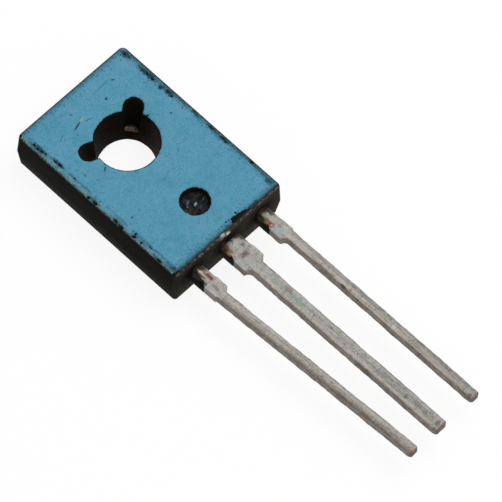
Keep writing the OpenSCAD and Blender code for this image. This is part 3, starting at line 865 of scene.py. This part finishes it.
def paint_depth(x, y):
    """Distance inside the paint, under 0 where the face is bare."""
    depth = rounded_box(x, y, (PAINT_LEFT, PAINT_LEAD_END), (PAINT_RIGHT, PAINT_PLAIN_END), PAINT_CORNER)
    depth = np.minimum(depth, np.hypot(x, y) - MOUTH_RADIUS)
    for angle in NOTCH_ANGLES:
        turn = math.radians(angle)
        along = x * math.cos(turn) + y * math.sin(turn)
        aside = y * math.cos(turn) - x * math.sin(turn)
        over = along - np.clip(along, 0, NOTCH_END)
        depth = np.minimum(depth, np.hypot(over, aside) - NOTCH_HALF_WIDTH)
    depth = np.minimum(depth, np.hypot(x, y - RECESS_Y) - RECESS_RADIUS)
    for amount, scale, seed in RIM_NOISE:
        depth = depth + amount * rough(x, y, scale, seed)
    ragged = sum(amount * rough(x, y, scale, seed) for amount, scale, seed in CHIP_NOISE)
    for centre_x, centre_y, half_width, half_length, angle in CHIPS:
        turn = math.radians(angle)
        across = (x - centre_x) * math.cos(turn) + (y - centre_y) * math.sin(turn)
        along = (y - centre_y) * math.cos(turn) - (x - centre_x) * math.sin(turn)
        size = np.hypot(across / half_width, along / half_length) + ragged
        depth = np.minimum(depth, (size - 1) * min(half_width, half_length))
    return depth


def paint_grid():
    """Places of a square grid over the marking face and its bevel."""
    columns = math.ceil(2 * FOOT_HALF_WIDTH / FILM_STEP)
    rows = math.ceil(2 * FOOT_HALF_LENGTH / FILM_STEP)
    xs = (np.arange(columns + 1) - columns / 2) * FILM_STEP
    ys = (np.arange(rows + 1) - rows / 2) * FILM_STEP + BODY_MID_Y
    return np.meshgrid(xs, ys, indexing="ij")


def face_height(x, y):
    """Height of the marking face, which bends down softly into its bevel."""
    foot = (FOOT_HALF_WIDTH, FOOT_HALF_LENGTH)
    rim = rounded_box(x, y - BODY_MID_Y, (-foot[0], -foot[1]), foot, FOOT_CORNER)
    drop = EDGE_BEVEL - rim
    return FACE_Z - (drop + np.hypot(drop, FILM_BEND)) / 2


def drop_flakes(shape, least):
    """Remove the islands of a bmesh that have fewer faces than the least."""
    shape.faces.index_update()
    seen = set()
    flakes = []
    for face in shape.faces:
        if face.index in seen:
            continue
        seen.add(face.index)
        island = [face]
        for member in island:
            for edge in member.edges:
                for beside in edge.link_faces:
                    if beside.index not in seen:
                        seen.add(beside.index)
                        island.append(beside)
        if len(island) < least:
            flakes += island
    bmesh.ops.delete(shape, geom=flakes, context="FACES")


def cell_corners(i, j, x, y, depth, base):
    """Corners of the painted part of a grid cell: the key, place, level and distance inside of each."""
    ring = [(i, j), (i + 1, j), (i + 1, j + 1), (i, j + 1)]
    for first, second in zip(ring, ring[1:] + ring[:1]):
        place = np.array((x[first], y[first]))
        if depth[first] > 0:
            yield first, place, base[first], depth[first]
        if (depth[first] > 0) != (depth[second] > 0):
            share = clamp(depth[first] / (depth[first] - depth[second]), *CROSSING_SHARES)
            crossing = place + share * (np.array((x[second], y[second])) - place)
            level = base[first] + share * (base[second] - base[first])
            yield (min(first, second), max(first, second)), crossing, level, 0


def film_rise(inside):
    """Height of the film's upper side over the face, at a distance inside the film's edge."""
    share = clamp(inside / FILM_TAPER)
    eased = share * share * (3 - 2 * share)
    return (PAINT_TOP - FACE_Z) * (FILM_EDGE_SHARE + (1 - FILM_EDGE_SHARE) * eased)


def paint_film(material):
    """Coat of paint over the marking face and its bevel, open at the holes and the chips."""
    x, y = paint_grid()
    depth = paint_depth(x, y)
    base = face_height(x, y)
    shape = bmesh.new()
    tops, bottoms = {}, {}
    for i, j in np.ndindex(x.shape[0] - 1, x.shape[1] - 1):
        keys = []
        for key, place, level, inside in cell_corners(i, j, x, y, depth, base):
            if key not in tops:
                tops[key] = shape.verts.new((*place, level + film_rise(inside)))
                bottoms[key] = shape.verts.new((*place, level - FILM_SUNK))
            keys.append(key)
        if keys:
            shape.faces.new([tops[k] for k in keys])
            shape.faces.new([bottoms[k] for k in reversed(keys)])
    under = {top: bottoms[key] for key, top in tops.items()}
    for edge in [e for e in shape.edges if e.is_boundary and e.verts[0] in under]:
        first, second = edge.link_loops[0].vert, edge.link_loops[0].link_loop_next.vert
        shape.faces.new([second, first, under[first], under[second]])
    drop_flakes(shape, LEAST_ISLAND_FACES)
    return link("paint_film", to_mesh(shape, "paint_film"), material)


def softened(node, name, material):
    """Copy of a CAD node with its sharp edges rounded, and a thin skin in the bore's back edge."""
    shape = welded_copy(node)
    flat = math.radians(FLAT_ANGLE)
    bmesh.ops.dissolve_limit(shape, angle_limit=flat, verts=shape.verts, edges=shape.edges)
    sharp = [e for e in shape.edges if e.is_manifold and e.calc_face_angle() > math.radians(SHARP_ANGLE)]
    bmesh.ops.bevel(
        shape, geom=sharp, offset=EDGE_ROUND, offset_type="OFFSET", segments=2,
        profile=0.5, affect="EDGES", clamp_overlap=True,
    )
    bmesh.ops.remove_doubles(shape, verts=shape.verts, dist=WELD)
    for vertex in shape.verts:
        radius = math.hypot(vertex.co.x, vertex.co.y)
        if vertex.co.z < SKIN_HEIGHT and radius < MOUTH_RADIUS:
            turn = math.atan2(vertex.co.y, vertex.co.x) - math.radians(SKIN_TURN)
            lump = SKIN_UNEVEN * noise.noise(vertex.co * SKIN_NOISE_SCALE)
            skin = SKIN_WIDTH * max(math.cos(turn), 0) ** 2 + lump
            vertex.co.xy *= 1 - skin / radius
    mesh = to_mesh(shape, name)
    mesh.set_sharp_from_angle(angle=math.radians(CREASE_ANGLE))
    return link(name, mesh, material)


def camera():
    """Camera at the photograph's angle, far off, with a long lens."""
    azimuth, elevation = math.radians(CAMERA_AZIMUTH), math.radians(CAMERA_ELEVATION)
    roll = Quaternion((0, 0, 1), math.radians(CAMERA_ROLL))
    back = Vector((
        math.sin(azimuth) * math.cos(elevation),
        -math.cos(azimuth) * math.cos(elevation),
        math.sin(elevation),
    ))
    data = bpy.data.cameras.new("camera")
    data.sensor_width = CAMERA_SENSOR
    data.lens = CAMERA_LENS
    data.clip_start, data.clip_end = (length * MM for length in CAMERA_CLIP)
    eye = bpy.data.objects.new("camera", data)
    eye.rotation_mode = "QUATERNION"
    eye.location = Vector(CAMERA_TARGET) * MM + back * (CAMERA_DISTANCE * MM)
    eye.rotation_quaternion = (-back).to_track_quat("-Z", "Y") @ roll
    bpy.context.scene.collection.objects.link(eye)
    bpy.context.scene.camera = eye


def seen_directly(tree):
    """Share that is 1 for rays that show the background: from the camera, a mirror or through glass."""
    path = tree.nodes.new("ShaderNodeLightPath")
    share = path.outputs["Is Camera Ray"]
    for name in ("Is Glossy Ray", "Is Transmission Ray"):
        either = tree.nodes.new("ShaderNodeMath")
        either.operation = "MAXIMUM"
        tree.links.new(share, either.inputs[0])
        tree.links.new(path.outputs[name], either.inputs[1])
        share = either.outputs["Value"]
    return share


def grey_surface(tree, level):
    """Output of a plain diffuse shader of one grey."""
    shader = tree.nodes.new("ShaderNodeBsdfDiffuse")
    shader.inputs["Color"].default_value = (level, level, level, 1)
    return shader.outputs["BSDF"]


def either_shader(tree, share, first, second):
    """Output of a mix of two shaders."""
    node = tree.nodes.new("ShaderNodeMixShader")
    tree.links.new(share, node.inputs["Fac"])
    tree.links.new(first, node.inputs[1])
    tree.links.new(second, node.inputs[2])
    return node.outputs["Shader"]


def table_material():
    """White that keeps a faint shadow, and is clear from below."""
    material = bpy.data.materials.new("table")
    material.use_nodes = True
    tree = material.node_tree
    tree.nodes.clear()
    glow = tree.nodes.new("ShaderNodeEmission")
    glow.inputs["Strength"].default_value = TABLE_SEEN_GLOW
    white = tree.nodes.new("ShaderNodeAddShader")
    tree.links.new(grey_surface(tree, TABLE_SEEN_GREY), white.inputs[0])
    tree.links.new(glow.outputs["Emission"], white.inputs[1])
    plain = grey_surface(tree, TABLE_GREY)
    above = either_shader(tree, seen_directly(tree), plain, white.outputs["Shader"])
    clear = tree.nodes.new("ShaderNodeBsdfTransparent").outputs["BSDF"]
    from_below = tree.nodes.new("ShaderNodeNewGeometry").outputs["Backfacing"]
    surface = either_shader(tree, from_below, above, clear)
    out = tree.nodes.new("ShaderNodeOutputMaterial")
    tree.links.new(surface, out.inputs["Surface"])
    return material


def floor():
    """White table just under the part."""
    half = TABLE_HALF_WIDTH * MM
    mesh = bpy.data.meshes.new("table")
    mesh.from_pydata(
        [(-half, -half, 0), (half, -half, 0), (half, half, 0), (-half, half, 0)], [], [(0, 1, 2, 3)])
    table = link("table", mesh, table_material())
    table.location.z = cad_box[0].z - TABLE_GAP * MM


def world():
    """Even soft light from all round, on a white background."""
    surround = bpy.data.worlds.new("surround")
    surround.use_nodes = True
    tree = surround.node_tree
    background = tree.nodes["Background"]
    background.inputs["Color"].default_value = (1, 1, 1, 1)
    level = tree.nodes.new("ShaderNodeMapRange")
    level.inputs["To Min"].default_value = SURROUND_LEVEL
    level.inputs["To Max"].default_value = BACKGROUND_LEVEL
    tree.links.new(seen_directly(tree), level.inputs["Value"])
    tree.links.new(level.outputs["Result"], background.inputs["Strength"])
    bpy.context.scene.world = surround


def lamp(name, place, power, size):
    """Soft square lamp that faces the middle of the object."""
    data = bpy.data.lights.new(name, "AREA")
    data.energy = power
    data.size = size * MM
    light = bpy.data.objects.new(name, data)
    light.location = [length * MM for length in place]
    middle = (cad_box[0] + cad_box[1]) / 2
    light.rotation_mode = "QUATERNION"
    light.rotation_quaternion = (middle - light.location).to_track_quat("-Z", "Y")
    bpy.context.scene.collection.objects.link(light)


camera()
floor()
world()
lamp("key", KEY_PLACE, KEY_POWER, KEY_SIZE)

finish_piece(softened("body", "moulded_body", black_compound()), "body")
finish_piece(paint_film(blue_paint()), "marking_paint")
for node, (name, *look) in LEADS.items():
    finish_piece(dipped(node, name, dull_tin("tin_" + node, *look)), node)

bond_wire = plain_metal("bond_wire", (215, 215, 218), (190, 190, 195), 0.2, 0.9)
INNER = {
    "die": plain_metal("silicon", (96, 98, 110), (70, 72, 84), 0.15, 0.3),
    "die_solder": plain_metal("solder", (185, 185, 190), (150, 150, 156), 0.35, 0.8),
    "emitter_wire": bond_wire,
    "base_wire": bond_wire,
}
for node, material in INNER.items():
    dress(frame["nodes"][node].data, material)

bpy.context.scene.view_settings.view_transform = "Standard"
